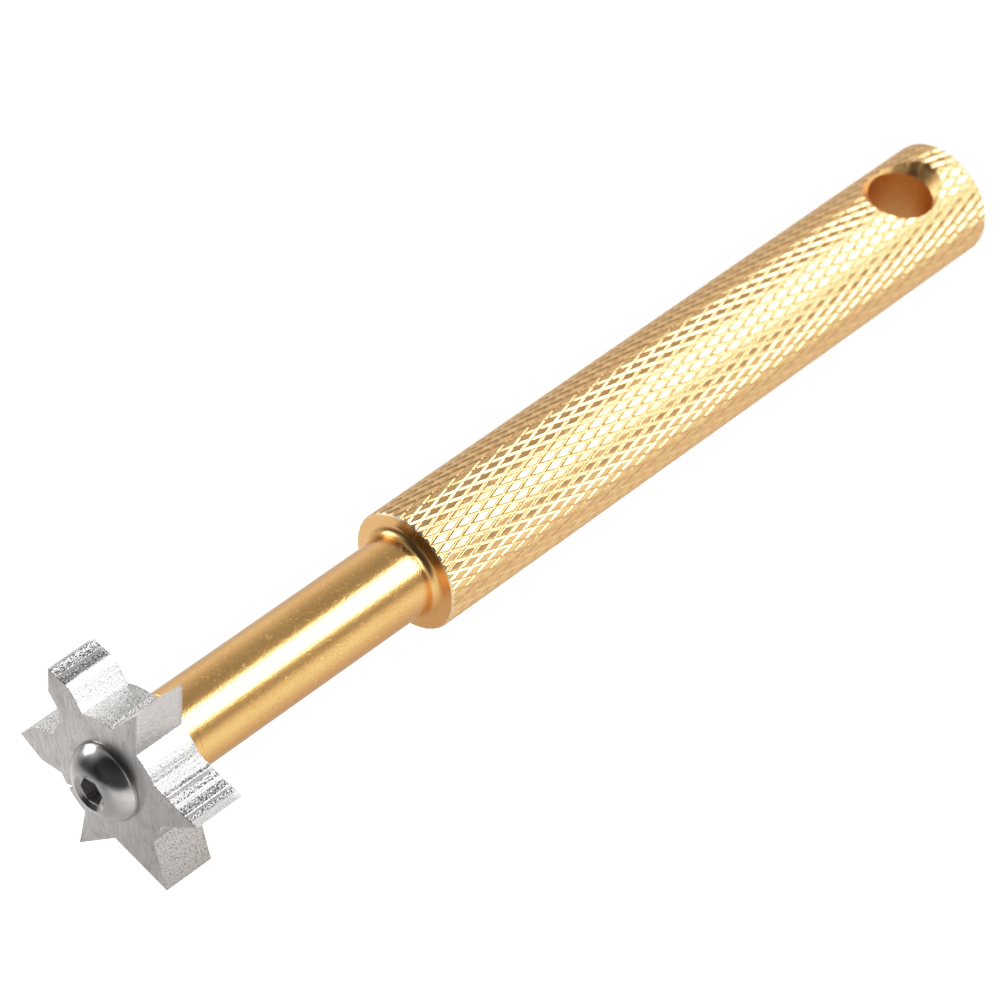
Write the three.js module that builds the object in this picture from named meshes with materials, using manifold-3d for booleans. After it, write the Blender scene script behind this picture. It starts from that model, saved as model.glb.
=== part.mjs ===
// Hand tool with a knurled handle, a six-pointed steel cutter and the button-head screw that clamps it.
// Units are millimetres. The origin is the centre of the handle's rear end face.
// +X runs along the tool towards the cutter, and +Z is up with two of the cutter's points level below.
import * as THREE from 'three';
import { mergeVertices } from 'three/addons/utils/BufferGeometryUtils.js';
import Module from 'manifold-3d';

// Handle: one turned piece, a thick grip and a thinner neck.
const GRIP_LENGTH = 95.3;
const GRIP_RADIUS = 7.5;
const GRIP_REAR_ROUND = 0.7;
const GRIP_FRONT_CHAMFER = 0.25;
const NECK_RADIUS = 5.05;
const NECK_LENGTH = 39.3;
const NECK_ROOT_FILLET = 1.0;
const NECK_END_CHAMFER = 0.2;

// Lanyard hole through the grip, opened out by a 90 degree countersink at both mouths.
const LANYARD_FROM_REAR = 9.4;
const LANYARD_RADIUS = 4.0;
const LANYARD_TILT_DEG = 72.5;
const COUNTERSINK_START = 5.9;
const LANYARD_OVERSHOOT = 1;

// Cutter: a flat plate with six teeth of different shapes on a round core.
const CUTTER_THICKNESS = 6.8;
const CUTTER_CORE_RADIUS = 8.25;
const CUTTER_POINT_RADIUS = 13.8;
const CUTTER_BORE_RADIUS = 2.6;
const NOTCH_ANGLE_DEG = 210.5;
const NOTCH_WIDTH_DEG = 3.4;
const NOTCH_FLOOR_RADIUS = 7.1;
const NOTCH_FLOOR_LEAN = 0.3;
const NOTCH_SIDE_SPACE = 1.5;
const CORE_STEP_DEG = 6;
const SAME_ROOT_WITHIN = 0.4;

// Screw: M5 button head with a hexagon socket, threads modelled plain.
const SHANK_RADIUS = 2.5;
const SHANK_LENGTH = 20;
const SHANK_END_CHAMFER = 0.5;
const HEAD_RADIUS = 4.8;
const HEAD_HEIGHT = 2.7;
const HEAD_RIM = 0.45;
const HEAD_DOME_RADIUS = 3.8;
const SOCKET_MOUTH_RADIUS = 2.3;
const SOCKET_ACROSS_FLATS = 3;
const SOCKET_DEPTH = 1.6;
const SOCKET_CHAMFER_DEPTH = 0.34;
const SOCKET_OVERSHOOT = 1;

// Threaded hole in the neck's end, with a running gap around the screw.
const TAPPED_RADIUS = 2.55;
const TAPPED_DEPTH = 16;
const DRILL_POINT_DEPTH = 1.5;

const NECK_END = GRIP_LENGTH + NECK_LENGTH;
const CUTTER_FRONT = NECK_END + CUTTER_THICKNESS;

// Flat facets around each round piece.
const HANDLE_FACETS = 64;
const LANYARD_FACETS = 48;
const BORE_FACETS = 24;
const SCREW_FACETS = 48;
const ROUND_STEPS = 4;
const FILLET_STEPS = 5;
const DOME_STEPS = 8;
const WELD_DISTANCE = 1e-5;

const wasm = await Module();
wasm.setup();

function rad(degrees) {
  return THREE.MathUtils.degToRad(degrees);
}

// Turns a closed three.js geometry into a manifold-3d solid.
function toSolid(geometry) {
  const plain = geometry.clone();
  plain.deleteAttribute('normal');
  plain.deleteAttribute('uv');
  const welded = mergeVertices(plain, WELD_DISTANCE);
  return new wasm.Manifold(new wasm.Mesh({
    numProp: 3,
    vertProperties: new Float32Array(welded.attributes.position.array),
    triVerts: new Uint32Array(welded.index.array),
  }));
}

// Turns a manifold-3d solid back into a three.js geometry.
function toGeometry(solid) {
  const mesh = solid.getMesh();
  const geometry = new THREE.BufferGeometry();
  geometry.setAttribute('position', new THREE.BufferAttribute(new Float32Array(mesh.vertProperties), 3));
  geometry.setIndex(new THREE.BufferAttribute(new Uint32Array(mesh.triVerts), 1));
  const flat = geometry.toNonIndexed();
  flat.computeVertexNormals();
  return flat;
}

// Points on an arc of a profile: centre along and out from the axis, angles from the +along direction.
function arc(along, out, radius, fromDeg, toDeg, steps) {
  const points = [];
  for (let i = 0; i <= steps; i += 1) {
    const angle = rad(fromDeg + ((toDeg - fromDeg) * i) / steps);
    points.push([along + radius * Math.cos(angle), out + radius * Math.sin(angle)]);
  }
  return points;
}

// Revolves [along X, radius] points about the X axis. The profile starts and ends on the axis.
function revolve(profile, segments) {
  const points = profile.map(([along, radius]) => new THREE.Vector2(radius, along));
  const geometry = new THREE.LatheGeometry(points, segments);
  geometry.rotateZ(-Math.PI / 2);
  return geometry;
}

function namedMesh(name, geometry, color, roughness) {
  const material = new THREE.MeshStandardMaterial({ color, metalness: 1, roughness });
  const mesh = new THREE.Mesh(geometry, material);
  mesh.name = name;
  return mesh;
}

function handleGeometry() {
  const rearRound = arc(
    GRIP_REAR_ROUND,
    GRIP_RADIUS - GRIP_REAR_ROUND,
    GRIP_REAR_ROUND,
    180,
    90,
    ROUND_STEPS,
  );
  const rootFillet = arc(
    GRIP_LENGTH + NECK_ROOT_FILLET,
    NECK_RADIUS + NECK_ROOT_FILLET,
    NECK_ROOT_FILLET,
    180,
    270,
    FILLET_STEPS,
  );
  const profile = [
    [0, 0],
    ...rearRound,
    [GRIP_LENGTH - GRIP_FRONT_CHAMFER, GRIP_RADIUS],
    [GRIP_LENGTH, GRIP_RADIUS - GRIP_FRONT_CHAMFER],
    ...rootFillet,
    [NECK_END - NECK_END_CHAMFER, NECK_RADIUS],
    [NECK_END, NECK_RADIUS - NECK_END_CHAMFER],
    [NECK_END, TAPPED_RADIUS],
    [NECK_END - TAPPED_DEPTH, TAPPED_RADIUS],
    [NECK_END - TAPPED_DEPTH - DRILL_POINT_DEPTH, 0],
  ];
  return toGeometry(toSolid(revolve(profile, HANDLE_FACETS)).subtract(lanyardCutter()));
}

// Tool shape for the lanyard hole: a bore with a 45 degree cone opening at each end.
function lanyardCutter() {
  const reach = GRIP_RADIUS + LANYARD_OVERSHOOT;
  const mouth = LANYARD_RADIUS + reach - COUNTERSINK_START;
  const points = [
    new THREE.Vector2(0, -reach),
    new THREE.Vector2(mouth, -reach),
    new THREE.Vector2(LANYARD_RADIUS, -COUNTERSINK_START),
    new THREE.Vector2(LANYARD_RADIUS, COUNTERSINK_START),
    new THREE.Vector2(mouth, reach),
    new THREE.Vector2(0, reach),
  ];
  const geometry = new THREE.LatheGeometry(points, LANYARD_FACETS);
  geometry.rotateX(rad(LANYARD_TILT_DEG));
  geometry.translate(LANYARD_FROM_REAR, 0, 0);
  return toSolid(geometry);
}

// Each tooth sits at its slot angle, counter-clockwise as seen from the front.
// Points are [distance from the axis along the tooth, distance across it]; across is positive
// counter-clockwise. rising runs from the core to the tip, falling from the tip back to the core.
// The first rising point and the last falling point give only the across distance at the core.
const TEETH = [
  { slotDeg: 0, rising: [-2.7], falling: [[12.7, 0.5], [11.15, 1.15], [10.05, 1.75], [9.05, 2.2], 2.95] },
  { slotDeg: 60, rising: [-2.0], falling: [2.0] },
  {
    slotDeg: 120,
    rising: [-1.95, [10.7, -1.95], [11.5, -1.75], [12.7, -0.7]],
    falling: [[11.25, 2.25], [8.7, 2.25], 2.6],
  },
  { slotDeg: 180, rising: [-2.5, [10.8, -2.3]], falling: [[10.9, 2.35], 2.7] },
  { slotDeg: 240, rising: [-0.95], falling: [3.7] },
  { slotDeg: 300, rising: [-4.55], falling: [2.5] },
];

// Turns a tooth's [along, across] point into [y, z] in the plane of the cutter.
function toothPoint(slotDeg, along, across) {
  const slot = rad(slotDeg);
  return [
    along * Math.cos(slot) - across * Math.sin(slot),
    along * Math.sin(slot) + across * Math.cos(slot),
  ];
}

function toothFlank(slotDeg, flank) {
  return flank.map((point) => {
    if (Array.isArray(point)) {
      return toothPoint(slotDeg, point[0], point[1]);
    }
    const along = Math.sqrt(CUTTER_CORE_RADIUS ** 2 - point ** 2);
    return toothPoint(slotDeg, along, point);
  });
}

function corePoint(angle, radius) {
  return [radius * Math.cos(angle), radius * Math.sin(angle)];
}

// Round stretch of the core between two teeth, with the small notch if it falls there.
function coreStretch(from, to) {
  const points = [];
  const steps = Math.floor((to - from) / rad(CORE_STEP_DEG));
  const notch = rad(NOTCH_ANGLE_DEG);
  const halfNotch = rad(NOTCH_WIDTH_DEG) / 2;
  const hasNotch = from < notch && notch < to;
  for (let i = 1; i < steps; i += 1) {
    const angle = from + ((to - from) * i) / steps;
    if (!hasNotch || Math.abs(angle - notch) > halfNotch * NOTCH_SIDE_SPACE) {
      points.push({ angle, radius: CUTTER_CORE_RADIUS });
    }
  }
  if (hasNotch) {
    points.push({ angle: notch - halfNotch, radius: CUTTER_CORE_RADIUS });
    points.push({ angle: notch + rad(NOTCH_WIDTH_DEG) * NOTCH_FLOOR_LEAN, radius: NOTCH_FLOOR_RADIUS });
    points.push({ angle: notch + halfNotch, radius: CUTTER_CORE_RADIUS });
    points.sort((a, b) => a.angle - b.angle);
  }
  return points.map((point) => corePoint(point.angle, point.radius));
}

function cutterOutline() {
  const outline = [];
  TEETH.forEach((tooth, index) => {
    const falling = toothFlank(tooth.slotDeg, tooth.falling);
    outline.push(...toothFlank(tooth.slotDeg, tooth.rising));
    outline.push(toothPoint(tooth.slotDeg, CUTTER_POINT_RADIUS, 0));
    const next = TEETH[(index + 1) % TEETH.length];
    const nextRoot = toothFlank(next.slotDeg, next.rising)[0];
    const root = falling[falling.length - 1];
    const from = Math.atan2(root[1], root[0]);
    const span = (Math.atan2(nextRoot[1], nextRoot[0]) - from + 4 * Math.PI) % (2 * Math.PI);
    const sharedRoot = Math.hypot(root[0] - nextRoot[0], root[1] - nextRoot[1]) < SAME_ROOT_WITHIN;
    outline.push(...(sharedRoot ? falling.slice(0, -1) : falling));
    if (!sharedRoot) {
      const start = (from + 2 * Math.PI) % (2 * Math.PI);
      outline.push(...coreStretch(start, start + span));
    }
  });
  return outline;
}

function cutterGeometry() {
  const shape = new THREE.Shape(cutterOutline().map(([y, z]) => new THREE.Vector2(y, z)));
  const bore = new THREE.Path();
  bore.absarc(0, 0, CUTTER_BORE_RADIUS, 0, 2 * Math.PI, true);
  shape.holes.push(bore);
  const geometry = new THREE.ExtrudeGeometry(shape, {
    depth: CUTTER_THICKNESS,
    bevelEnabled: false,
    curveSegments: BORE_FACETS,
  });
  // The outline is drawn in Y and Z: turn the extrusion so that its depth runs along +X.
  const turn = new THREE.Matrix4().makeBasis(
    new THREE.Vector3(0, 1, 0),
    new THREE.Vector3(0, 0, 1),
    new THREE.Vector3(1, 0, 0),
  );
  geometry.applyMatrix4(turn);
  geometry.translate(NECK_END, 0, 0);
  return geometry;
}

// Dome from the top of the rim to the socket's mouth, as an arc of HEAD_DOME_RADIUS.
function headDome() {
  const rim = new THREE.Vector2(CUTTER_FRONT + HEAD_RIM, HEAD_RADIUS);
  const mouth = new THREE.Vector2(CUTTER_FRONT + HEAD_HEIGHT, SOCKET_MOUTH_RADIUS);
  const chord = mouth.clone().sub(rim);
  const inward = new THREE.Vector2(chord.y, -chord.x).normalize();
  const drop = Math.sqrt(HEAD_DOME_RADIUS ** 2 - (chord.length() / 2) ** 2);
  const centre = rim.clone().add(mouth).multiplyScalar(0.5).addScaledVector(inward, drop);
  const fromDeg = THREE.MathUtils.radToDeg(Math.atan2(rim.y - centre.y, rim.x - centre.x));
  const toDeg = THREE.MathUtils.radToDeg(Math.atan2(mouth.y - centre.y, mouth.x - centre.x));
  return arc(centre.x, centre.y, HEAD_DOME_RADIUS, fromDeg, toDeg, DOME_STEPS);
}

function screwGeometry() {
  const shankEnd = CUTTER_FRONT - SHANK_LENGTH;
  const cornerRadius = SOCKET_ACROSS_FLATS / Math.sqrt(3);
  const socketHeight = SOCKET_DEPTH + SOCKET_OVERSHOOT;
  const profile = [
    [shankEnd, 0],
    [shankEnd, SHANK_RADIUS - SHANK_END_CHAMFER],
    [shankEnd + SHANK_END_CHAMFER, SHANK_RADIUS],
    [CUTTER_FRONT, SHANK_RADIUS],
    [CUTTER_FRONT, HEAD_RADIUS],
    ...headDome(),
    [CUTTER_FRONT + HEAD_HEIGHT - SOCKET_CHAMFER_DEPTH, cornerRadius],
    [CUTTER_FRONT + HEAD_HEIGHT - SOCKET_CHAMFER_DEPTH, 0],
  ];
  const socket = new THREE.CylinderGeometry(cornerRadius, cornerRadius, socketHeight, 6);
  socket.rotateZ(-Math.PI / 2);
  socket.translate(CUTTER_FRONT + HEAD_HEIGHT - SOCKET_DEPTH + socketHeight / 2, 0, 0);
  return toGeometry(toSolid(revolve(profile, SCREW_FACETS)).subtract(toSolid(socket)));
}

const group = new THREE.Group();
group.add(namedMesh('handle', handleGeometry(), 0xd9a95a, 0.3));
group.add(namedMesh('cutter', cutterGeometry(), 0xb4b1ae, 0.4));
group.add(namedMesh('clamp_screw', screwGeometry(), 0xc9c9cc, 0.15));

export default group;
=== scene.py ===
"""Looks of a hand deburring tool: knurled gold-anodised handle, star cutter and button-head screw.

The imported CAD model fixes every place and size. This script builds finer meshes around it (the diamond
knurl, the screw's thread, the cutter's scored flanks), gives them procedural materials, and sets up a pale
floor, soft studio light and a camera. Lengths are in millimetres until a mesh is made, and then in metres.
The X axis runs along the tool towards the cutter. Angles round the tool are measured from +Y towards +Z.
"""

import math

import bmesh
import bpy
import numpy as np
from mathutils import Matrix, Vector, noise


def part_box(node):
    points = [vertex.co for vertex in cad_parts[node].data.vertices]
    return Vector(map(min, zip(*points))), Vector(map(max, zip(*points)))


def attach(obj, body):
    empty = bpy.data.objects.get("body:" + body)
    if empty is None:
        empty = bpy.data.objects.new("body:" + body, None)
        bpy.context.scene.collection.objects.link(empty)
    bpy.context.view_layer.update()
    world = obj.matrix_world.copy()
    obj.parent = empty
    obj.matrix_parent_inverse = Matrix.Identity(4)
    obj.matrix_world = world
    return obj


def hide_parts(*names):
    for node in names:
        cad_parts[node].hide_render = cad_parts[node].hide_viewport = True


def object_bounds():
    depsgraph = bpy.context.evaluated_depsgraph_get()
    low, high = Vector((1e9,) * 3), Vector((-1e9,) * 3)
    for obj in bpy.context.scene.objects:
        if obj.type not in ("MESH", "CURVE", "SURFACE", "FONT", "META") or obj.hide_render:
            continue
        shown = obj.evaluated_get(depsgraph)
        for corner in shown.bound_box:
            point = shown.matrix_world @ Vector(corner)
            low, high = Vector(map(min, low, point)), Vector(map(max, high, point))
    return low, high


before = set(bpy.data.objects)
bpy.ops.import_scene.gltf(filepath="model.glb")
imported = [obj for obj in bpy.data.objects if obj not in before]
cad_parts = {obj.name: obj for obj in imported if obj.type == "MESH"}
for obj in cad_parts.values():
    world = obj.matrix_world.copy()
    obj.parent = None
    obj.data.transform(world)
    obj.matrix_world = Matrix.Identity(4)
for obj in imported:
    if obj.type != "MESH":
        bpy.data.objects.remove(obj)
cad_low, cad_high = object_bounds()

MM = 0.001


def box_mm(node):
    """Lowest and highest corner of a CAD node, in millimetres."""
    low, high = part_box(node)
    return low / MM, high / MM


handle_low, handle_high = box_mm("handle")
cutter_low, cutter_high = box_mm("cutter")
screw_low, screw_high = box_mm("clamp_screw")

# Handle
GRIP_LENGTH = 95.3
GRIP_RADIUS = handle_high.z
NECK_RADIUS = 5.05
NECK_END = handle_high.x
REAR_ROUND = 0.7
FACE_CHAMFER = 0.25
ROOT_FILLET = 1.0
NECK_END_ROUND = 0.2
SCRIBED_LINE_HALF_WIDTH = 0.04
TAPPED_CHAMFER = 0.4
DRILL_POINT_LENGTH = 1.5
SCRIBED_LINE_FROM_END = 2.8
SCRIBED_LINE_DEPTH = 0.03
TAPPED_RADIUS = 2.55
TAPPED_DEPTH = 16.0
HANDLE_FACETS = 192

# Diamond knurl: two sets of helical grooves, KNURL_COUNT grooves in each set
KNURL_COUNT = 40
KNURL_LEAD = 4.07
KNURL_DEPTH = 0.15
# Half of a groove's cross-section: (share of the pitch from the groove's middle, share of the depth)
GROOVE_HALF = [(0.02, 0.0), (0.06, 0.14), (0.165, 0.84), (0.205, 1.0), (0.23, 1.0)]

# Lanyard hole
LANYARD_FROM_REAR = 9.4
LANYARD_RADIUS = 4.0
LANYARD_TILT = math.radians(72.5)
COUNTERSINK_START = 5.9

# Cutter
CUTTER_BORE_RADIUS = 2.6
CUTTER_CORE_RADIUS = 8.25
OUTLINE_STEP = 0.12
EDGE_BREAK = 0.05
BACK_BURR = 0.1
BORE_EDGE = 0.25
# Distance from the back face to the first ring of the flank proper
FLANK_START = 0.15
FLANK_RINGS = 10
FLANK_WANDER = 0.012
SCORE_DEPTH = 0.02
FINE_SCORE_DEPTH = 0.004
OUTLINE_ATTRIBUTE = "outline_mm"
BAND_WIDTH = 1.45
# Flank finishes: (name, from degrees, to degrees, least distance from the axis); the first that fits counts
FLANK_FINISHES = [
    ("bright", 0, 1.8, 12),
    ("torn", 1.5, 22, 9.2),
    ("torn", 105, 120, 11.3),
    ("planed", 40, 62, CUTTER_CORE_RADIUS + 0.2),
    ("milled", 62, 106, 0),
    ("milled", 135, 180, 0),
    ("sawn", -180, -30, 0),
]

# Clamp screw, M5 coarse
THREAD_PITCH = 0.8
THREAD_RADIUS = 2.47
THREAD_DEPTH = 0.46
HEAD_RADIUS = screw_high.z
HEAD_TOP = screw_high.x
HEAD_RIM = 0.45
HEAD_DOME_RADIUS = 3.8
SOCKET_MOUTH_RADIUS = 2.3
SOCKET_CORNER_RADIUS = 3.0 / math.sqrt(3)
SOCKET_DEPTH = 1.6
SOCKET_CHAMFER = 0.34
THREAD_STEPS = 64


# ---------------------------------------------------------------- mesh helpers

def make_object(name, vertices, faces):
    """New object from vertices in millimetres."""
    mesh = bpy.data.meshes.new(name)
    points = np.asarray(vertices, float) * MM
    mesh.from_pydata(points.tolist(), [], faces)
    mesh.validate()
    made = bpy.data.objects.new(name, mesh)
    bpy.context.scene.collection.objects.link(made)
    return made


def ring(x, radius, angles):
    """Points round the X axis. radius is one number or one per angle."""
    spread = np.broadcast_to(radius, angles.shape)
    return np.column_stack([np.full(angles.shape, x), spread * np.cos(angles), spread * np.sin(angles)])


def skin(rings, first_number=0, closed=False):
    """Faces between neighbouring rings of equally many points; closed joins the last ring to the first."""
    around = len(rings[0])
    pairs = [(i, i + 1) for i in range(len(rings) - 1)]
    if closed:
        pairs.append((len(rings) - 1, 0))
    faces = []
    for low, high in pairs:
        for j in range(around):
            k = (j + 1) % around
            corners = (low * around + j, low * around + k, high * around + k, high * around + j)
            faces.append(tuple(first_number + c for c in corners))
    return faces


def turned(name, profile, facets):
    """Solid of revolution about X. profile is (x, radius) pairs that start and end on the axis."""
    angles = np.linspace(0, 2 * math.pi, facets, endpoint=False)
    rings = [ring(x, radius, angles) for x, radius in profile[1:-1]]
    vertices = np.vstack(rings + [[(profile[0][0], 0, 0)], [(profile[-1][0], 0, 0)]])
    faces = skin(rings)
    last = (len(rings) - 1) * facets
    start_pole = len(rings) * facets
    for j in range(facets):
        k = (j + 1) % facets
        faces.append((start_pole, k, j))
        faces.append((start_pole + 1, last + j, last + k))
    return make_object(name, vertices, faces)


def arc(centre_x, centre_r, radius, from_degrees, to_degrees, steps):
    """(x, radius) pairs along an arc of a profile."""
    turns = np.radians(np.linspace(from_degrees, to_degrees, steps + 1))
    return [(centre_x + radius * math.cos(t), centre_r + radius * math.sin(t)) for t in turns]


def close_ends(obj):
    """Closes both open ends of a tube round the X axis with a fan to a point on the axis."""
    work = bmesh.new()
    work.from_mesh(obj.data)
    edges = [e for e in work.edges if e.is_boundary]
    middle = sum(v.co.x for v in work.verts) / len(work.verts)
    for side in (-1, 1):
        rim = [e for e in edges if (e.verts[0].co.x - middle) * side > 0]
        centre = work.verts.new((sum(e.verts[0].co.x for e in rim) / len(rim), 0, 0))
        for edge in rim:
            work.faces.new((edge.verts[0], edge.verts[1], centre))
    bmesh.ops.recalc_face_normals(work, faces=work.faces)
    work.to_mesh(obj.data)
    work.free()


def combine(target, tool, operation):
    """Changes target by a boolean with tool (DIFFERENCE, UNION or INTERSECT), and removes tool."""
    modifier = target.modifiers.new("combine", "BOOLEAN")
    modifier.object = tool
    modifier.operation = operation
    modifier.solver = "MANIFOLD"
    depsgraph = bpy.context.evaluated_depsgraph_get()
    result = bpy.data.meshes.new_from_object(target.evaluated_get(depsgraph))
    target.modifiers.clear()
    target.data = result
    bpy.data.objects.remove(tool)


def finish_surface(obj, sharp_degrees, ridge_degrees=None):
    """Smooth shading that keeps sharp the edges steeper than sharp_degrees.

    With ridge_degrees, edges that run round or along the tool are already sharp above that smaller angle.
    """
    mesh = obj.data
    mesh.polygons.foreach_set("use_smooth", [True] * len(mesh.polygons))
    mesh.set_sharp_from_angle(angle=math.radians(sharp_degrees))
    if ridge_degrees is None:
        return
    normals = np.empty(len(mesh.polygons) * 3)
    mesh.polygons.foreach_get("normal", normals)
    normals = normals.reshape(-1, 3)
    corner_counts = np.empty(len(mesh.polygons), int)
    mesh.polygons.foreach_get("loop_total", corner_counts)
    corner_edges = np.empty(len(mesh.loops), int)
    mesh.loops.foreach_get("edge_index", corner_edges)
    corner_faces = np.repeat(np.arange(len(mesh.polygons)), corner_counts)
    sides = corner_faces[np.argsort(corner_edges, kind="stable")].reshape(-1, 2)
    bend = np.einsum("ij,ij->i", normals[sides[:, 0]], normals[sides[:, 1]])
    ends = np.empty(len(mesh.edges) * 2, int)
    mesh.edges.foreach_get("vertices", ends)
    places = np.empty(len(mesh.vertices) * 3)
    mesh.vertices.foreach_get("co", places)
    span = np.diff(places.reshape(-1, 3)[ends.reshape(-1, 2)], axis=1)[:, 0]
    along = np.abs(span[:, 0]) / np.maximum(np.linalg.norm(span, axis=1), 1e-9)
    ridge = ((along < 0.1) | (along > 0.985)) & (bend < math.cos(math.radians(ridge_degrees)))
    sharp = np.empty(len(mesh.edges), bool)
    mesh.attributes["sharp_edge"].data.foreach_get("value", sharp)
    mesh.attributes["sharp_edge"].data.foreach_set("value", sharp | ridge)


def paint_regions(obj, materials, region_of):
    """Gives each face the material that region_of(centre in mm, normal) names."""
    names = list(materials)
    obj.data.materials.clear()
    for material in materials.values():
        obj.data.materials.append(material)
    picks = [names.index(region_of(p.center / MM, p.normal)) for p in obj.data.polygons]
    obj.data.polygons.foreach_set("material_index", picks)


# ---------------------------------------------------------------- handle

def groove_breaks():
    """Places and heights across one pitch: the groove's middle is at 0 and 1, the diamond's at 0.5."""
    rising = GROOVE_HALF
    falling = [(1 - place, height) for place, height in reversed(GROOVE_HALF)]
    return rising + falling


def knurled_bar():
    """Closed bar with the diamond knurl, a little longer than the grip.

    u and v count grooves of the two sets: u = N * turn + x / lead and v = N * turn - x / lead. The mesh is a
    grid in u and v, so that every groove and diamond has its own edges. first numbers the grid along u and
    wraps round the bar; along is the number along u minus the number along v, which runs along the bar.
    """
    places, heights = np.array(groove_breaks()).T
    per_pitch = len(places)
    around = KNURL_COUNT * per_pitch
    spare = 2
    pitches_long = math.ceil(2 * GRIP_LENGTH / KNURL_LEAD)
    along = np.arange(-spare * per_pitch, (pitches_long + spare) * per_pitch)
    first, difference = np.meshgrid(np.arange(around), along, indexing="ij")
    second = first - difference
    u = first // per_pitch + places[first % per_pitch]
    v = second // per_pitch + places[second % per_pitch]
    height = np.minimum(heights[first % per_pitch], heights[second % per_pitch])
    turn = math.pi * (u + v) / KNURL_COUNT
    x = KNURL_LEAD * (u - v) / 2
    radius = GRIP_RADIUS - KNURL_DEPTH * (1 - height)
    vertices = np.stack([x, radius * np.cos(turn), radius * np.sin(turn)], axis=-1).reshape(-1, 3)

    columns = len(along)
    number = np.arange(around * columns).reshape(around, columns)
    nxt = np.roll(number, -1, axis=0)
    corners = (number[:, 1:-1], nxt[:, 2:], nxt[:, 1:-1], number[:, :-2])
    corners = [c.ravel() for c in corners]
    h = [height.ravel()[c] for c in corners]
    # A diamond's corner is a ridge, so each quad is split along its higher diagonal.
    straight = h[0] + h[2] >= h[1] + h[3]
    one = np.where(straight, (corners[2], corners[1], corners[0]), (corners[3], corners[1], corners[0]))
    two = np.where(straight, (corners[3], corners[2], corners[0]), (corners[3], corners[2], corners[1]))
    faces = np.concatenate([one.T, two.T]).tolist()
    bar = make_object("knurled_bar", vertices, faces)
    close_ends(bar)
    return bar


def grip_blank():
    """Turned outline of the grip, which trims the knurled bar: rounded rear rim and chamfered front rim."""
    clear = 0.3
    front_chamfer = GRIP_LENGTH - FACE_CHAMFER
    profile = [(0, 0)]
    profile += arc(REAR_ROUND, GRIP_RADIUS - REAR_ROUND, REAR_ROUND, 180, 90, 6)
    profile += [(REAR_ROUND + clear, GRIP_RADIUS + clear)]
    profile += [(front_chamfer - clear, GRIP_RADIUS + clear)]
    profile += [(GRIP_LENGTH, GRIP_RADIUS - FACE_CHAMFER), (GRIP_LENGTH, 0)]
    return turned("grip_blank", profile, HANDLE_FACETS)


def neck_blank():
    """Turned neck with its root fillet, scribed line and tapped hole."""
    root = NECK_RADIUS + ROOT_FILLET
    line = NECK_END - SCRIBED_LINE_FROM_END
    half_line = SCRIBED_LINE_HALF_WIDTH
    profile = [(GRIP_LENGTH - 2, 0), (GRIP_LENGTH - 2, root)]
    profile += arc(GRIP_LENGTH + ROOT_FILLET, root, ROOT_FILLET, 180, 270, 8)
    profile += [(GRIP_LENGTH + ROOT_FILLET + 0.2, NECK_RADIUS)]
    profile += [(line - 2 * half_line, NECK_RADIUS), (line - half_line, NECK_RADIUS)]
    profile += [(line, NECK_RADIUS - SCRIBED_LINE_DEPTH)]
    profile += [(line + half_line, NECK_RADIUS), (line + 2 * half_line, NECK_RADIUS)]
    profile += [(NECK_END - 2 * NECK_END_ROUND, NECK_RADIUS)]
    profile += arc(NECK_END - NECK_END_ROUND, NECK_RADIUS - NECK_END_ROUND, NECK_END_ROUND, 90, 0, 4)
    profile += [(NECK_END, TAPPED_RADIUS + TAPPED_CHAMFER)]
    profile += [(NECK_END - TAPPED_CHAMFER, TAPPED_RADIUS), (NECK_END - TAPPED_DEPTH, TAPPED_RADIUS)]
    profile += [(NECK_END - TAPPED_DEPTH - DRILL_POINT_LENGTH, 0)]
    return turned("neck_blank", profile, HANDLE_FACETS)


def lanyard_tool():
    """Shape of the lanyard hole: a bore with a 45 degree cone at each end."""
    reach = GRIP_RADIUS + 1
    mouth = LANYARD_RADIUS + reach - COUNTERSINK_START
    half = [(reach, 0), (reach, mouth), (COUNTERSINK_START, LANYARD_RADIUS)]
    profile = [(-x, r) for x, r in half] + [(x, r) for x, r in reversed(half)]
    tool = turned("lanyard_tool", profile, 128)
    turn = Matrix.Rotation(math.pi / 2, 4, "Z")
    tilt = Matrix.Rotation(LANYARD_TILT, 4, "X")
    tool.data.transform(Matrix.Translation((LANYARD_FROM_REAR * MM, 0, 0)) @ tilt @ turn)
    return tool


def handle_region(centre, normal):
    """Name of the surface that a face of the handle belongs to."""
    lanyard_axis = Vector((0, math.cos(LANYARD_TILT), math.sin(LANYARD_TILT)))
    from_hole = centre - Vector((LANYARD_FROM_REAR, 0, 0))
    along_hole = abs(from_hole.dot(lanyard_axis))
    off_hole = (from_hole - lanyard_axis * from_hole.dot(lanyard_axis)).length
    cone = LANYARD_RADIUS + max(0, along_hole - COUNTERSINK_START)
    if abs(off_hole - cone) < 0.03 and centre.x < GRIP_LENGTH / 2:
        return "bore"
    off_axis = math.hypot(centre.y, centre.z)
    if abs(centre.x - GRIP_LENGTH) < 0.01:
        return "polished"
    if centre.x > NECK_END - 0.01:
        return "polished"
    if centre.x > GRIP_LENGTH and off_axis < TAPPED_RADIUS + 0.5:
        return "bore"
    if centre.x > GRIP_LENGTH:
        return "fillet" if centre.x < GRIP_LENGTH + ROOT_FILLET else "satin"
    if centre.x < 0.02:
        return "polished"
    if centre.x > GRIP_LENGTH - FACE_CHAMFER and normal.x > 0.5:
        return "edge"
    return "knurl"


def build_handle(materials):
    handle = knurled_bar()
    handle.name = "knurled_handle"
    combine(handle, grip_blank(), "INTERSECT")
    combine(handle, neck_blank(), "UNION")
    combine(handle, lanyard_tool(), "DIFFERENCE")
    finish_surface(handle, 38, ridge_degrees=12)
    paint_regions(handle, materials, handle_region)
    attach(handle, "handle_body")
    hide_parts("handle")
    return handle


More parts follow.
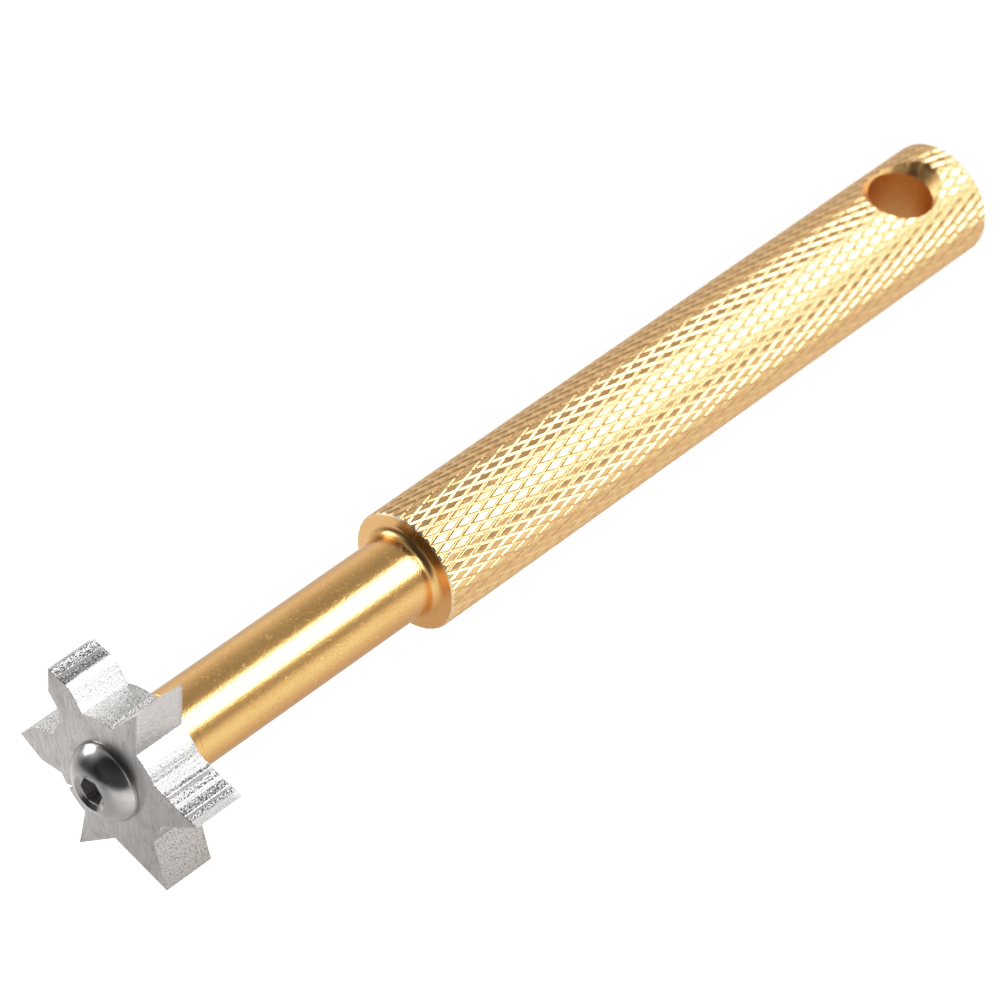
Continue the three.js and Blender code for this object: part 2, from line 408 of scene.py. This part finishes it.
# ---------------------------------------------------------------- cutter

def cad_outline():
    """Corners of the cutter's outline, [y, z] in mm, in order of angle, read from its CAD node."""
    corners = set()
    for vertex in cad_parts["cutter"].data.vertices:
        y, z = round(vertex.co.y / MM, 4), round(vertex.co.z / MM, 4)
        if math.hypot(y, z) > CUTTER_BORE_RADIUS + 1:
            corners.add((y, z))
    return np.array(sorted(corners, key=lambda p: math.atan2(p[1], p[0])))


def fine_outline(corners):
    """The outline with close points: straight along the teeth and truly round along the core."""
    points = []
    for start, end in zip(corners, np.roll(corners, -1, axis=0)):
        steps = max(1, math.ceil(np.linalg.norm(end - start) / OUTLINE_STEP))
        shares = np.arange(steps) / steps
        straight = start + shares[:, None] * (end - start)
        radii = np.hypot(*np.array([start, end]).T)
        if np.all(np.abs(radii - CUTTER_CORE_RADIUS) < 0.02):
            straight *= (CUTTER_CORE_RADIUS / np.hypot(*straight.T))[:, None]
        points.append(straight)
    return np.vstack(points)


def outward_normals(outline):
    """Unit normals of a closed outline that runs counter-clockwise."""
    tangent = np.roll(outline, -1, axis=0) - np.roll(outline, 1, axis=0)
    normal = np.column_stack([tangent[:, 1], -tangent[:, 0]])
    return normal / np.linalg.norm(normal, axis=1)[:, None]


def scoring(outline):
    """Depth of the straight score marks that the outline's cutting tool left along the flanks."""
    travelled = arc_lengths(outline)
    coarse = np.array([noise.noise(Vector((s * 0.9, 3.1, 0))) for s in travelled])
    fine = np.array([noise.noise(Vector((s * 3.7, 9.4, 0))) for s in travelled])
    return SCORE_DEPTH * coarse + FINE_SCORE_DEPTH * fine


def arc_lengths(outline):
    """Distance along a closed outline to each of its points."""
    lengths = np.linalg.norm(np.roll(outline, -1, axis=0) - outline, axis=1)
    return np.concatenate([[0], np.cumsum(lengths)[:-1]])


def flank_ring(x, outline, normals, depths, inset):
    """One ring of the cutter's flank at x, moved in by the score marks and by inset."""
    wander = np.array([noise.noise(Vector((p[0] * 2.3, p[1] * 2.3, x * 1.4))) for p in outline])
    moved = outline - normals * (np.abs(depths) + inset + FLANK_WANDER * np.abs(wander))[:, None]
    return np.column_stack([np.full(len(moved), x), moved])


def build_cutter(materials):
    outline = fine_outline(cad_outline())
    normals = outward_normals(outline)
    depths = scoring(outline)
    angles = np.arctan2(outline[:, 1], outline[:, 0])
    back, front = cutter_low.x, cutter_high.x
    burr = np.array([abs(noise.noise(Vector((p[0] * 5, p[1] * 5, 7.7)))) for p in outline])
    rings = [ring(back + BORE_EDGE, CUTTER_BORE_RADIUS, angles)]
    rings.append(ring(back, CUTTER_BORE_RADIUS + BORE_EDGE, angles))
    rings.append(flank_ring(back, outline, normals, depths, EDGE_BREAK + BACK_BURR * burr))
    for x in np.linspace(back + FLANK_START, front - EDGE_BREAK, FLANK_RINGS):
        rings.append(flank_ring(x, outline, normals, depths, 0.0))
    rings.append(flank_ring(front, outline, normals, depths, EDGE_BREAK))
    rings.append(ring(front, CUTTER_BORE_RADIUS + BORE_EDGE, angles))
    rings.append(ring(front - BORE_EDGE, CUTTER_BORE_RADIUS, angles))
    cutter = make_object("star_cutter", np.vstack(rings), skin(rings, closed=True))
    travelled = cutter.data.attributes.new(OUTLINE_ATTRIBUTE, "FLOAT", "POINT")
    travelled.data.foreach_set("value", np.tile(arc_lengths(outline), len(rings)))
    finish_surface(cutter, 30)
    paint_regions(cutter, materials, cutter_region)
    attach(cutter, "cutter_body")
    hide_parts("cutter")
    return cutter


def cutter_region(centre, normal):
    """Ground front and back; each flank gets its finish from FLANK_FINISHES, or else is scored."""
    if abs(normal.x) > 0.9:
        return "ground"
    turn = math.degrees(math.atan2(centre.z, centre.y))
    off_axis = math.hypot(centre.y, centre.z)
    for name, from_turn, to_turn, least_radius in FLANK_FINISHES:
        if from_turn < turn <= to_turn and off_axis > least_radius:
            return name
    return "scored"


# ---------------------------------------------------------------- clamp screw

def thread_bar(start, end):
    """Closed bar with a right-hand thread, from before start to past end.

    The mesh follows the helix: profile places repeat once per pitch, and the last one joins the next turn.
    """
    steps = THREAD_STEPS
    places = [(0.0, 0.0), (0.125, 0.0), (0.4375, 1.0), (0.6875, 1.0)]
    turns = math.ceil((end - start) / THREAD_PITCH) + 3
    count = turns * steps
    vertices = []
    for n in range(count):
        angle = 2 * math.pi * n / steps
        for place, depth in places:
            x = start + THREAD_PITCH * (n / steps - 2 + place)
            radius = THREAD_RADIUS - THREAD_DEPTH * depth
            vertices.append((x, radius * math.cos(angle), radius * math.sin(angle)))
    per = len(places)

    def number(n, k):
        return n * per + k if k < per else (n + steps) * per

    faces = []
    for n in range(count - 1):
        for k in range(per):
            if k + 1 < per or n + 1 + steps < count:
                faces.append((number(n, k), number(n + 1, k), number(n + 1, k + 1), number(n, k + 1)))
    bar = make_object("thread_bar", vertices, faces)
    close_ends(bar)
    return bar


def head_dome(front):
    """Arc of the button head from the top of its rim to the socket's mouth, as (x, radius) pairs."""
    rim = Vector((front + HEAD_RIM, HEAD_RADIUS))
    mouth = Vector((HEAD_TOP, SOCKET_MOUTH_RADIUS))
    chord = mouth - rim
    inward = Vector((chord.y, -chord.x)).normalized()
    drop = math.sqrt(HEAD_DOME_RADIUS ** 2 - (chord.length / 2) ** 2)
    centre = (rim + mouth) / 2 + inward * drop
    start = math.degrees(math.atan2(rim.y - centre.y, rim.x - centre.x))
    stop = math.degrees(math.atan2(mouth.y - centre.y, mouth.x - centre.x))
    return arc(centre.x, centre.y, HEAD_DOME_RADIUS, start, stop, 20)


def screw_blank(front):
    """Turned outline of the whole screw, with a plain shank a little under the thread's crest."""
    tip = screw_low.x
    chamfer_x = HEAD_TOP - SOCKET_CHAMFER
    profile = [(tip, 0), (tip, THREAD_RADIUS - 0.5), (tip + 0.5, THREAD_RADIUS + 0.2)]
    profile += [(front - 1, THREAD_RADIUS + 0.2), (front - 1, 0)]
    shank = turned("shank_blank", profile, 96)
    edge = 0.12
    profile = [(front - 1.6, 0), (front - 1.6, THREAD_RADIUS - THREAD_DEPTH)]
    profile += [(front - 1.2, THREAD_RADIUS), (front, THREAD_RADIUS), (front, HEAD_RADIUS - edge)]
    profile += arc(front + edge, HEAD_RADIUS - edge, edge, 180, 90, 3)
    profile += head_dome(front)
    profile += [(chamfer_x, SOCKET_CORNER_RADIUS), (chamfer_x, 0)]
    head = turned("head_blank", profile, 120)
    return shank, head


def socket_tool():
    """Hexagon socket with the cone that its drill leaves."""
    bottom = HEAD_TOP - SOCKET_DEPTH
    profile = [(bottom - 0.5, 0), (bottom, SOCKET_CORNER_RADIUS), (HEAD_TOP + 1, SOCKET_CORNER_RADIUS)]
    profile += [(HEAD_TOP + 1, 0)]
    return turned("socket_tool", profile, 6)


def screw_region(centre, normal):
    """Socket walls, polished head or rolled thread."""
    off_axis = math.hypot(centre.y, centre.z)
    front = cutter_high.x
    if centre.x > HEAD_TOP - SOCKET_DEPTH - 0.6 and off_axis < SOCKET_CORNER_RADIUS + 0.01:
        return "socket"
    return "head" if centre.x > front - 0.01 else "thread"


def build_screw(materials):
    front = cutter_high.x
    screw = thread_bar(screw_low.x, front)
    screw.name = "button_screw"
    shank, head = screw_blank(front)
    combine(screw, shank, "INTERSECT")
    combine(screw, head, "UNION")
    combine(screw, socket_tool(), "DIFFERENCE")
    finish_surface(screw, 30)
    paint_regions(screw, materials, screw_region)
    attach(screw, "screw_body")
    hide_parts("clamp_screw")
    return screw


# ---------------------------------------------------------------- materials

class Shader:
    """Adds nodes to one node tree. An input given as a socket is linked, any other value is set."""

    def __init__(self, tree):
        self.tree = tree
        tree.nodes.clear()

    def node(self, kind, inputs=None, **settings):
        made = self.tree.nodes.new("ShaderNode" + kind)
        for key, value in settings.items():
            setattr(made, key, value)
        for key, value in (inputs or {}).items():
            if isinstance(value, bpy.types.NodeSocket):
                self.tree.links.new(value, made.inputs[key])
            else:
                made.inputs[key].default_value = value
        return made

    def math(self, operation, *values):
        return self.node("Math", dict(enumerate(values)), operation=operation).outputs[0]

    def remap(self, value, low, high, to_low=0.0, to_high=1.0):
        inputs = {"Value": value, "From Min": low, "From Max": high, "To Min": to_low, "To Max": to_high}
        return self.node("MapRange", inputs).outputs[0]

    def mix(self, share, first, second):
        made = self.node("Mix", {"Factor": share}, data_type="RGBA")
        for socket, value in ((made.inputs[6], first), (made.inputs[7], second)):
            if isinstance(value, bpy.types.NodeSocket):
                self.tree.links.new(value, socket)
            else:
                socket.default_value = value
        return made.outputs[2]

    def position_mm(self):
        """Position on the piece in millimetres, at rest."""
        place = self.node("TexCoord").outputs["Object"]
        return self.node("VectorMath", {0: place, "Scale": 1 / MM}, operation="SCALE").outputs[0]

    def stretched(self, position, scale_xyz):
        return self.node("VectorMath", {0: position, 1: scale_xyz}, operation="MULTIPLY").outputs[0]

    def noise(self, position, scale, detail=2.0, roughness=0.5):
        inputs = {"Vector": position, "Scale": scale, "Detail": detail, "Roughness": roughness}
        return self.node("TexNoise", inputs).outputs["Fac"]

    def bump(self, height, depth_mm, normal=None):
        inputs = {"Height": height, "Distance": depth_mm * MM, "Strength": 1.0}
        if normal is not None:
            inputs["Normal"] = normal
        return self.node("Bump", inputs).outputs[0]

    def metal(self, color, roughness, normal, **others):
        """Metal surface. others are further inputs of the Principled shader."""
        inputs = {"Base Color": color, "Metallic": 1.0, "Roughness": roughness, "Normal": normal, **others}
        surface = self.node("BsdfPrincipled", inputs)
        self.node("OutputMaterial", {"Surface": surface.outputs[0]})

    def anodised(self, color, roughness, normal):
        """Gold-dyed metal under a clear oxide layer, so it turns paler towards grazing view."""
        layer = {"Coat Weight": 1.0, "Coat Roughness": roughness, "Coat IOR": 1.6, "Coat Normal": normal}
        self.metal(color, roughness, normal, **{"Specular Tint": GOLD_GRAZING}, **layer)


def new_material(name):
    material = bpy.data.materials.new(name)
    material.use_nodes = True
    return material, Shader(material.node_tree)


GOLD = (0.88, 0.51, 0.15, 1)
GOLD_PALE = (0.88, 0.55, 0.23, 1)
# Painted shade for the knurl's grooves
GOLD_GROOVE_SHADE = (0.76, 0.45, 0.17, 1)
# Pale cream of the rims: worn colour and a painted highlight
GOLD_WORN_AND_SHEEN = (0.97, 0.88, 0.7, 1)
GOLD_DEEP = (0.8, 0.43, 0.12, 1)
GOLD_GRAZING = (0.95, 0.75, 0.5, 1)
GOLD_SHADE = (0.5, 0.24, 0.05, 1)
GOLD_FACE = (0.9, 0.49, 0.2, 1)
GOLD_BORE = (0.85, 0.5, 0.17, 1)
GOLD_BORE_DARK = (0.72, 0.38, 0.11, 1)
STEEL_BRIGHT = (0.74, 0.73, 0.72, 1)
STEEL_LAND = (0.97, 0.96, 0.95, 1)
STEEL_PIT = (0.11, 0.11, 0.12, 1)
STEEL_DULL = (0.28, 0.28, 0.285, 1)
STEEL_WORN = (0.6, 0.58, 0.565, 1)
STEEL_GROUND = (0.7, 0.685, 0.675, 1)
STEEL_DARK = (0.45, 0.435, 0.42, 1)
STEEL_STAIN = (0.42, 0.36, 0.3, 1)
STEEL_SPOT = (0.16, 0.13, 0.11, 1)
STAINLESS = (0.62, 0.61, 0.605, 1)
# Painted shade in the thread's roots
THREAD_ROOT_SHADE = (0.3, 0.28, 0.26, 1)
SOCKET_LIGHT = (0.6, 0.58, 0.57, 1)
SOCKET_DARK = (0.4, 0.39, 0.38, 1)
WHITE = (1, 1, 1, 1)
FLOOR_TINT = (1, 0.98, 0.965, 1)
# Painted warm light bounced from the gold handle onto the floor under it
FLOOR_PAINTED_GOLD_BOUNCE = (1, 0.87, 0.77, 1)
ROOM_TINT = (1, 0.98, 0.96, 1)


def off_axis_mm(shader, position):
    """Distance from the tool's axis in millimetres."""
    flat = shader.stretched(position, (0, 1, 1))
    return shader.node("VectorMath", {0: flat}, operation="LENGTH").outputs["Value"]


def gold_knurl():
    """Rolled knurl: mottled diamond tops, painted shade (a darker gold) and fine tool lines in the grooves.
    """
    material, s = new_material("gold_knurl")
    place = s.position_mm()
    blotches = s.noise(place, 0.35, 3)
    mottle = s.noise(place, 2.6, 4, 0.6)
    fine = s.noise(s.stretched(place, (1, 3, 3)), 9, 2)
    top = s.remap(off_axis_mm(s, place), GRIP_RADIUS - KNURL_DEPTH, GRIP_RADIUS)
    # Painted shade: darker gold towards the groove bottoms, paler gold on the diamond tops.
    color = s.mix(s.math("MULTIPLY", top, s.remap(blotches, 0.3, 0.7, 0.5, 1.0)), GOLD_GROOVE_SHADE, GOLD_PALE)
    roughness = s.remap(mottle, 0.3, 0.7, 0.14, 0.26)
    normal = s.bump(mottle, 0.01)
    normal = s.bump(fine, 0.003, normal)
    s.anodised(color, roughness, normal)
    return material


def gold_satin():
    """Satin neck: fine rings round the neck, sparkling grain and a few bright nicks."""
    material, s = new_material("gold_satin")
    place = s.position_mm()
    rings = s.noise(s.stretched(place, (9, 1.2, 1.2)), 1, 3, 0.6)
    grain = s.noise(place, 4.5, 2, 0.6)
    nicks = s.remap(s.noise(place, 2.6, 2, 0.6), 0.66, 0.7)
    cloud = s.noise(place, 0.12, 2)
    color = s.mix(s.remap(cloud, 0.3, 0.7, 0, 0.6), GOLD, GOLD_DEEP)
    color = s.mix(s.remap(grain, 0.42, 0.62, 0, 0.22), color, GOLD_SHADE)
    roughness = s.remap(rings, 0.25, 0.75, 0.12, 0.22)
    normal = s.bump(rings, 0.004)
    normal = s.bump(grain, 0.02, normal)
    normal = s.bump(nicks, 0.03, normal)
    s.anodised(color, roughness, normal)
    return material


def gold_fillet():
    """Smoothly blended root of the neck, shinier than the rest."""
    material, s = new_material("gold_fillet")
    place = s.position_mm()
    rings = s.noise(s.stretched(place, (9, 1.2, 1.2)), 1, 3, 0.6)
    color = s.mix(s.remap(rings, 0.3, 0.7), GOLD, GOLD_DEEP)
    s.anodised(color, s.remap(rings, 0.25, 0.75, 0.24, 0.32), s.bump(rings, 0.003))
    return material


def gold_polished():
    """Bright turned faces with fine rings round the axis."""
    material, s = new_material("gold_polished")
    place = s.position_mm()
    out = off_axis_mm(s, place)
    rings = s.noise(s.node("CombineXYZ", {"X": out}).outputs[0], 8, 2)
    smudge = s.noise(place, 0.8, 3)
    color = s.mix(s.remap(smudge, 0.3, 0.7), GOLD_FACE, GOLD)
    s.anodised(color, s.remap(smudge, 0.3, 0.7, 0.24, 0.34), s.bump(rings, 0.002))
    return material


def gold_edge():
    """Chamfered rims in pale cream gold: partly colour worn thin by handling, partly a painted highlight
    along the rims.
    """
    material, s = new_material("gold_edge")
    place = s.position_mm()
    wear_and_sheen = s.noise(place, 3, 3, 0.6)
    # Pale patches: handling wear together with a painted highlight on the rim.
    color = s.mix(s.remap(wear_and_sheen, 0.35, 0.65), GOLD_PALE, GOLD_WORN_AND_SHEEN)
    s.metal(color, s.remap(wear_and_sheen, 0.3, 0.7, 0.35, 0.5), s.bump(wear_and_sheen, 0.004))
    return material


def gold_bore():
    """Drilled and countersunk surfaces: mottled tool marks, a little rougher than the rest."""
    material, s = new_material("gold_bore")
    place = s.position_mm()
    marks = s.noise(place, 1.4, 3, 0.6)
    fine = s.noise(place, 9, 2)
    color = s.mix(s.remap(marks, 0.3, 0.7), GOLD_BORE_DARK, GOLD_BORE)
    normal = s.bump(fine, 0.003, s.bump(marks, 0.02))
    s.anodised(color, s.remap(marks, 0.3, 0.7, 0.3, 0.5), normal)
    return material


def ground_steel():
    """Ground face: fine straight grinding lines, small dark pits and faint stains."""
    material, s = new_material("ground_steel")
    place = s.position_mm()
    lines = s.noise(s.stretched(place, (1, 6, 0.5)), 1, 4, 0.7)
    broad = s.noise(s.stretched(place, (1, 1.6, 0.25)), 1, 3)
    pits = s.remap(s.noise(place, 3.6, 1), 0.7, 0.76)
    stain = s.remap(s.noise(place, 0.5, 3), 0.56, 0.7, 0, 0.5)
    worn = s.mix(s.remap(lines, 0.38, 0.62, 0, 0.7), STEEL_GROUND, STEEL_DARK)
    color = s.mix(pits, s.mix(stain, worn, STEEL_STAIN), STEEL_SPOT)
    roughness = s.remap(broad, 0.3, 0.7, 0.26, 0.4)
    normal = s.bump(pits, -0.03, s.bump(lines, 0.005))
    s.metal(color, roughness, normal)
    return material


def flank_steel(name, metal_color, pit_color, pit_share, grain_mm, band_mm, line_share, roughness):
    """Cutter flank: sparkling grain in bands along the tool, with smoother bright lines between them.

    pit_share says how much of the grain is pits, in pit_color. grain_mm and band_mm are depths.
    line_share says how fully the lines interrupt the grain.
    """
    material, s = new_material(name)
    along_tool = s.node("SeparateXYZ", {0: s.position_mm()}).outputs["X"]
    outline = s.node("Attribute", attribute_name=OUTLINE_ATTRIBUTE).outputs["Fac"]
    flat = s.node("CombineXYZ", {"X": outline, "Y": along_tool}).outputs[0]
    grain = s.noise(flat, 5.5, 2, 0.6)
    speckle = s.noise(s.stretched(flat, (1.2, 0.75, 1)), 4.8, 1, 0.5)
    wander = s.noise(s.stretched(flat, (1, 0.04, 1)), 0.7, 2, 0.5)
    scores = s.noise(s.stretched(flat, (1, 0.05, 1)), 6, 2, 0.6)
    phase = s.math("MULTIPLY_ADD", outline, 2 * math.pi / BAND_WIDTH, s.math("MULTIPLY", wander, 2.5))
    bands = s.math("SINE", phase)
    torn = s.remap(bands, 0.4, 0.7, 1.0, 1.0 - line_share)
    depth = s.math("MULTIPLY", s.math("MULTIPLY", grain, s.remap(torn, 0, 1, 0.15, 1)), grain_mm)
    depth = s.math("ADD", depth, s.math("MULTIPLY", bands, band_mm))
    depth = s.math("ADD", depth, s.math("MULTIPLY", scores, band_mm))
    pit_level = 0.7 - 0.3 * pit_share
    pits = s.math("MULTIPLY", s.remap(speckle, pit_level, pit_level + 0.07), torn)
    color = s.mix(pits, metal_color, pit_color)
    s.metal(color, s.remap(grain, 0.3, 0.7, roughness - 0.08, roughness + 0.08), s.bump(depth, 1.0))
    return material


def polished_stainless():
    """Mirror-bright screw head with faint turning lines and handling marks."""
    material, s = new_material("polished_stainless")
    place = s.position_mm()
    smudge = s.noise(place, 0.9, 4, 0.6)
    rings = s.noise(s.stretched(place, (6, 1, 1)), 1.2, 3)
    color = s.mix(s.remap(smudge, 0.3, 0.75, 0, 0.5), STAINLESS, STEEL_DARK)
    normal = s.bump(rings, 0.002)
    s.metal(color, s.remap(smudge, 0.3, 0.7, 0.14, 0.24), normal)
    return material


def rolled_thread():
    """Thread: duller than the head, with painted shade in the roots."""
    material, s = new_material("rolled_thread")
    place = s.position_mm()
    crest = s.remap(off_axis_mm(s, place), THREAD_RADIUS - THREAD_DEPTH, THREAD_RADIUS)
    marks = s.noise(place, 3, 3)
    # Painted shade: darker towards the thread's roots.
    color = s.mix(crest, THREAD_ROOT_SHADE, STAINLESS)
    s.metal(color, s.remap(marks, 0.3, 0.7, 0.2, 0.36), s.bump(marks, 0.01))
    return material


def socket_steel():
    """Broached socket: darker walls with tool lines along the axis."""
    material, s = new_material("socket_steel")
    place = s.position_mm()
    lines = s.noise(s.stretched(place, (0.4, 8, 8)), 1, 3)
    color = s.mix(s.remap(lines, 0.3, 0.7), SOCKET_LIGHT, SOCKET_DARK)
    s.metal(color, s.remap(lines, 0.3, 0.7, 0.3, 0.45), s.bump(lines, 0.01))
    return material


# ---------------------------------------------------------------- stage, light and camera

# Radiance that the tone curve shows as white; the camera sees the floor and surroundings at this value
WHITE_SWEEP = 2.0
# Radiance up to which the tone curve leaves values alone, and its number of steps above that
SHOULDER_START = 0.6
SHOULDER_STEPS = 12


CAMERA_PLACE = (404.2, 344.0, 331.3)
CAMERA_VIEW = (-0.5627, -0.5960, -0.5729)
CAMERA_RIGHT = (-0.6771, 0.7298, -0.0942)
CAMERA_LENS = 183.06
CAMERA_FSTOP = 42
FOCUS_PLACE = (118, 0, 0)
FLOOR_REACH = 2.0


def floor_material():
    """Pale floor: an even sweep to the camera; in reflections a painted pool of light, with a painted shadow
    of the tool next to it and painted warm light bounced from the handle above it.
    """
    material, s = new_material("pale_floor")
    place = s.node("SeparateXYZ", {0: s.position_mm()})
    side = place.outputs["Y"]
    front = place.outputs["X"]
    # Painted shadow of the tool close beside it, rising to a painted lit pool further out on both sides and
    # fading far off.
    right = s.math("MULTIPLY", s.remap(side, 4, 20, 0.62, 1.2), s.remap(side, 28, 120, 1, 0.5))
    left = s.remap(side, -2, -18, 0, 0.34)
    fade = s.math("MULTIPLY", s.remap(front, 138, 260, 1, 0.35), s.remap(side, -25, -50, 1, 0.7))
    painted_light_pool = s.math("MULTIPLY", s.math("ADD", right, left), fade)
    # Painted warm light bounced from the gold handle, on the floor just under it.
    painted_gold_bounce = s.math("MULTIPLY", s.remap(side, 15, 4), s.remap(side, -14, -4))
    painted_gold_bounce = s.math("MULTIPLY", painted_gold_bounce, s.remap(front, 142, 130))
    tint = s.mix(painted_gold_bounce, FLOOR_TINT, FLOOR_PAINTED_GOLD_BOUNCE)
    seen = s.node("LightPath").outputs["Is Camera Ray"]
    reflected = s.node("Emission", {"Color": tint, "Strength": painted_light_pool}).outputs[0]
    sweep = s.node("Emission", {"Color": WHITE, "Strength": WHITE_SWEEP}).outputs[0]
    mixed = s.node("MixShader", {0: seen, 1: reflected, 2: sweep}).outputs[0]
    s.node("OutputMaterial", {"Surface": mixed})
    return material


def build_floor():
    """Large plane that touches the grip's rear rim and the two lowest cutter points."""
    rear = Vector((REAR_ROUND, 0, -GRIP_RADIUS)) * MM
    tips = Vector((cutter_low.x, 0, cutter_low.z)) * MM
    along = (tips - rear).normalized()
    across = Vector((0, 1, 0))
    up = along.cross(across)
    reach = FLOOR_REACH
    corners = [(-reach, -reach), (reach, -reach), (reach, reach), (-reach, reach)]
    drop = up * 0.00005
    vertices = [(rear - drop + along * a + across * b) / MM for a, b in corners]
    floor = make_object("floor", vertices, [(0, 1, 2, 3)])
    floor.data.materials.append(floor_material())


def softbox(name, direction, distance, width, height, radiance):
    """Rectangular light in that direction from the tool's middle, facing it."""
    middle = (cad_low + cad_high) / 2
    data = bpy.data.lights.new(name, "AREA")
    data.shape = "RECTANGLE"
    data.size = width
    data.size_y = height
    data.energy = radiance * math.pi * width * height
    light = bpy.data.objects.new(name, data)
    towards = Vector(direction).normalized()
    light.location = middle + towards * distance
    light.rotation_mode = "QUATERNION"
    light.rotation_quaternion = towards.to_track_quat("Z", "Y")
    bpy.context.scene.collection.objects.link(light)
    light.visible_camera = False


def lobe(s, ray, direction, inner_degrees, outer_degrees, strength):
    """Soft round patch of the surroundings: strength inside inner_degrees, nothing past outer_degrees."""
    towards = Vector(direction).normalized()
    along = s.node("VectorMath", {0: ray, 1: towards}, operation="DOT_PRODUCT").outputs["Value"]
    low, high = math.cos(math.radians(outer_degrees)), math.cos(math.radians(inner_degrees))
    return s.remap(along, low, high, 0.0, strength)


def build_world():
    """Studio surroundings: white to the camera; a grey room, dark behind the camera, to everything else."""
    world = bpy.data.worlds.new("studio")
    bpy.context.scene.world = world
    world.use_nodes = True
    s = Shader(world.node_tree)
    ray = s.node("TexCoord").outputs["Generated"]
    height = s.node("SeparateXYZ", {0: ray}).outputs["Z"]
    wall = s.math("MULTIPLY", s.remap(height, 0.4, 0.87, 0.93, 0.36), s.remap(height, 0.0, 0.3, 0.74, 1.0))
    dark_camera_side = lobe(s, ray, (0.8, 0.4, 0.45), 45, 64, 0.93)
    dark_low_left = lobe(s, ray, (0.72, -0.62, 0.1), 14, 42, 0.9)
    dark_low_right = lobe(s, ray, (-0.52, 0.85, 0.06), 6, 20, 0.45)
    dark_far_left = lobe(s, ray, (-0.02, -1.0, 0.02), 3, 12, 0.7)
    room = wall
    for patch in (dark_camera_side, dark_low_left, dark_low_right, dark_far_left):
        room = s.math("MULTIPLY", room, s.math("SUBTRACT", 1.0, patch))
    behind = s.node("Background", {"Color": ROOM_TINT, "Strength": room}).outputs[0]
    seen = s.node("Background", {"Color": WHITE, "Strength": WHITE_SWEEP}).outputs[0]
    camera_ray = s.node("LightPath").outputs["Is Camera Ray"]
    mixed = s.node("MixShader", {0: camera_ray, 1: behind, 2: seen}).outputs[0]
    s.node("OutputWorld", {"Surface": mixed})


def build_lights():
    softbox("softbox_right", (-0.52, 0.57, 0.63), 0.8, 0.66, 0.4, 8.5)
    softbox("softbox_left", (0.2, -0.84, 0.5), 0.8, 0.4, 0.36, 4.5)


def build_camera():
    """Long lens, looking down at the tool from its front, focused on the neck."""
    location = Vector(CAMERA_PLACE) * MM
    view = Vector(CAMERA_VIEW).normalized()
    right = Vector(CAMERA_RIGHT)
    right = (right - view * right.dot(view)).normalized()
    up = right.cross(view)
    focus = bpy.data.objects.new("focus_point", None)
    focus.location = Vector(FOCUS_PLACE) * MM
    bpy.context.scene.collection.objects.link(focus)
    camera_data = bpy.data.cameras.new("camera")
    camera_data.sensor_width = 36.0
    camera_data.lens = CAMERA_LENS
    camera_data.clip_start = 0.01
    camera_data.clip_end = 10.0
    camera_data.dof.use_dof = True
    camera_data.dof.focus_object = focus
    camera_data.dof.aperture_fstop = CAMERA_FSTOP
    camera = bpy.data.objects.new("camera", camera_data)
    axes = Matrix((right, up, -view)).transposed()
    camera.matrix_world = Matrix.Translation(location) @ axes.to_4x4()
    bpy.context.scene.collection.objects.link(camera)
    bpy.context.scene.camera = camera


def set_tone_curve():
    """Soft shoulder for bright values, so that bright gold turns cream instead of clipping to yellow."""
    view = bpy.context.scene.view_settings
    view.view_transform = "Standard"
    view.look = "None"
    view.use_curve_mapping = True
    mapping = view.curve_mapping
    mapping.white_level = (WHITE_SWEEP, WHITE_SWEEP, WHITE_SWEEP)
    combined = mapping.curves[3]
    span = WHITE_SWEEP - SHOULDER_START
    room = 1 - SHOULDER_START
    for step in range(SHOULDER_STEPS):
        share = step / SHOULDER_STEPS
        value = SHOULDER_START + share * span
        shown = 1 - room * (1 - share) ** (span / room)
        combined.points.new(value / WHITE_SWEEP, shown)
    for point in combined.points:
        point.handle_type = "VECTOR"
    mapping.update()


build_handle({
    "knurl": gold_knurl(),
    "satin": gold_satin(),
    "fillet": gold_fillet(),
    "polished": gold_polished(),
    "bore": gold_bore(),
    "edge": gold_edge(),
})
build_cutter({
    "ground": ground_steel(),
    "torn": flank_steel("torn_steel", STEEL_BRIGHT, STEEL_PIT, 0.72, 0.05, 0.012, 1.0, 0.28),
    "bright": flank_steel("bright_steel", STEEL_LAND, STEEL_DULL, 0.0, 0.01, 0.002, 0.0, 0.3),
    "scored": flank_steel("scored_steel", STEEL_BRIGHT, STEEL_DULL, 0.55, 0.06, 0.004, 0.4, 0.32),
    "milled": flank_steel("milled_steel", STEEL_BRIGHT, STEEL_PIT, 0.34, 0.12, 0.01, 0.3, 0.26),
    "sawn": flank_steel("sawn_steel", STEEL_WORN, STEEL_DULL, 0.5, 0.09, 0.004, 0.3, 0.32),
    "planed": flank_steel("planed_steel", STEEL_WORN, STEEL_DULL, 0.25, 0.012, 0.0003, 0.0, 0.3),
})
build_screw({
    "head": polished_stainless(),
    "thread": rolled_thread(),
    "socket": socket_steel(),
})
build_floor()
build_world()
build_lights()
build_camera()

set_tone_curve()
